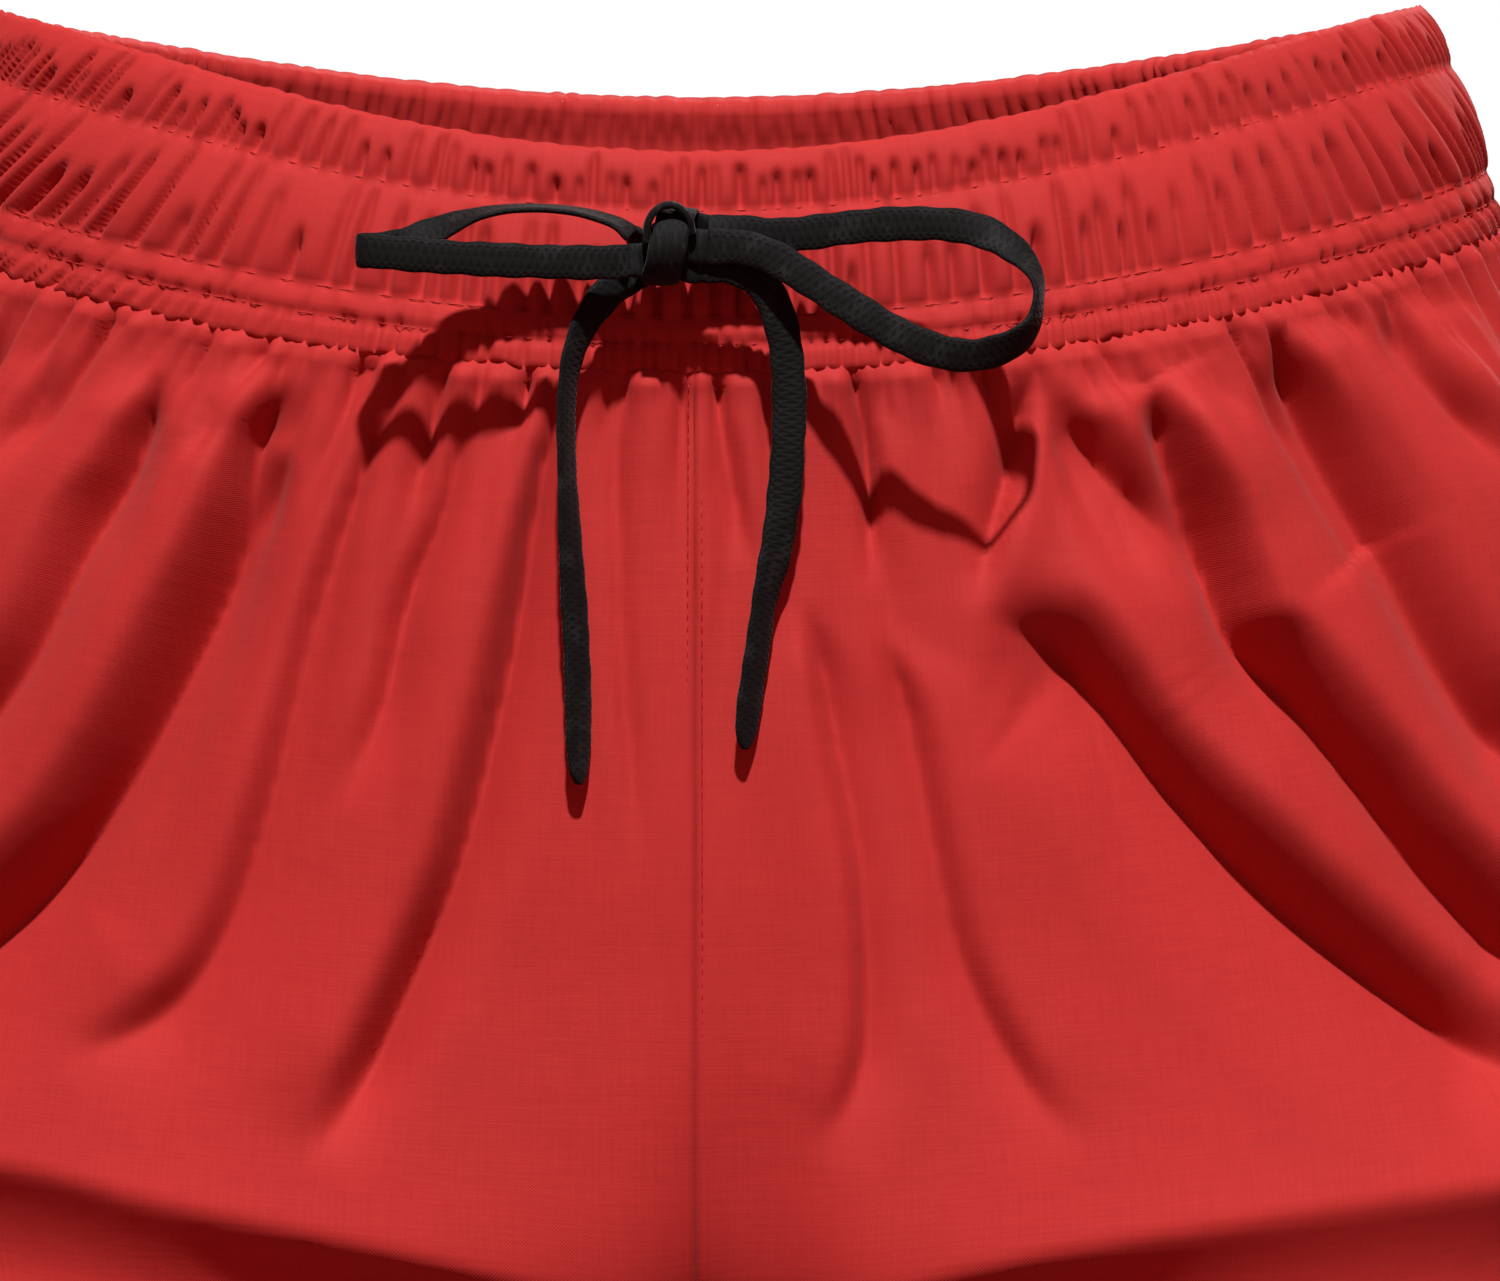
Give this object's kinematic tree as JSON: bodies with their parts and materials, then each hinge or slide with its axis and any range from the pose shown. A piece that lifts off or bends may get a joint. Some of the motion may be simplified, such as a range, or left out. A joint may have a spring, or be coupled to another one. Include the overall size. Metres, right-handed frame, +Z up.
{
  "type": "gym shorts",
  "caption": "Loose woven gym shorts with a gathered elastic waistband stitched into channels and a flat drawstring tied in a bow, filled out as when worn.",
  "frame": {"origin": "centre of the waist opening, level with the top edge at the centre front", "axes": "+Z up out of the waist opening, -Y towards the front of the garment, +X towards the wearer's left"},
  "size_m": [0.443, 0.2858, 0.4499],
  "materials": {
    "cloth": "fine plain-woven polyester, soft sheen",
    "cord": "flat braided black cord, matt"
  },
  "bodies": {
    "root": {"waistband": "cloth", "front_left": "cloth", "front_right": "cloth", "back_left": "cloth", "back_right": "cloth", "drawstring_knot": "cord", "drawstring_loop_left": "cord", "drawstring_loop_right": "cord", "drawstring_tail_left": "cord", "drawstring_tail_right": "cord"}
  },
  "joints": []
}
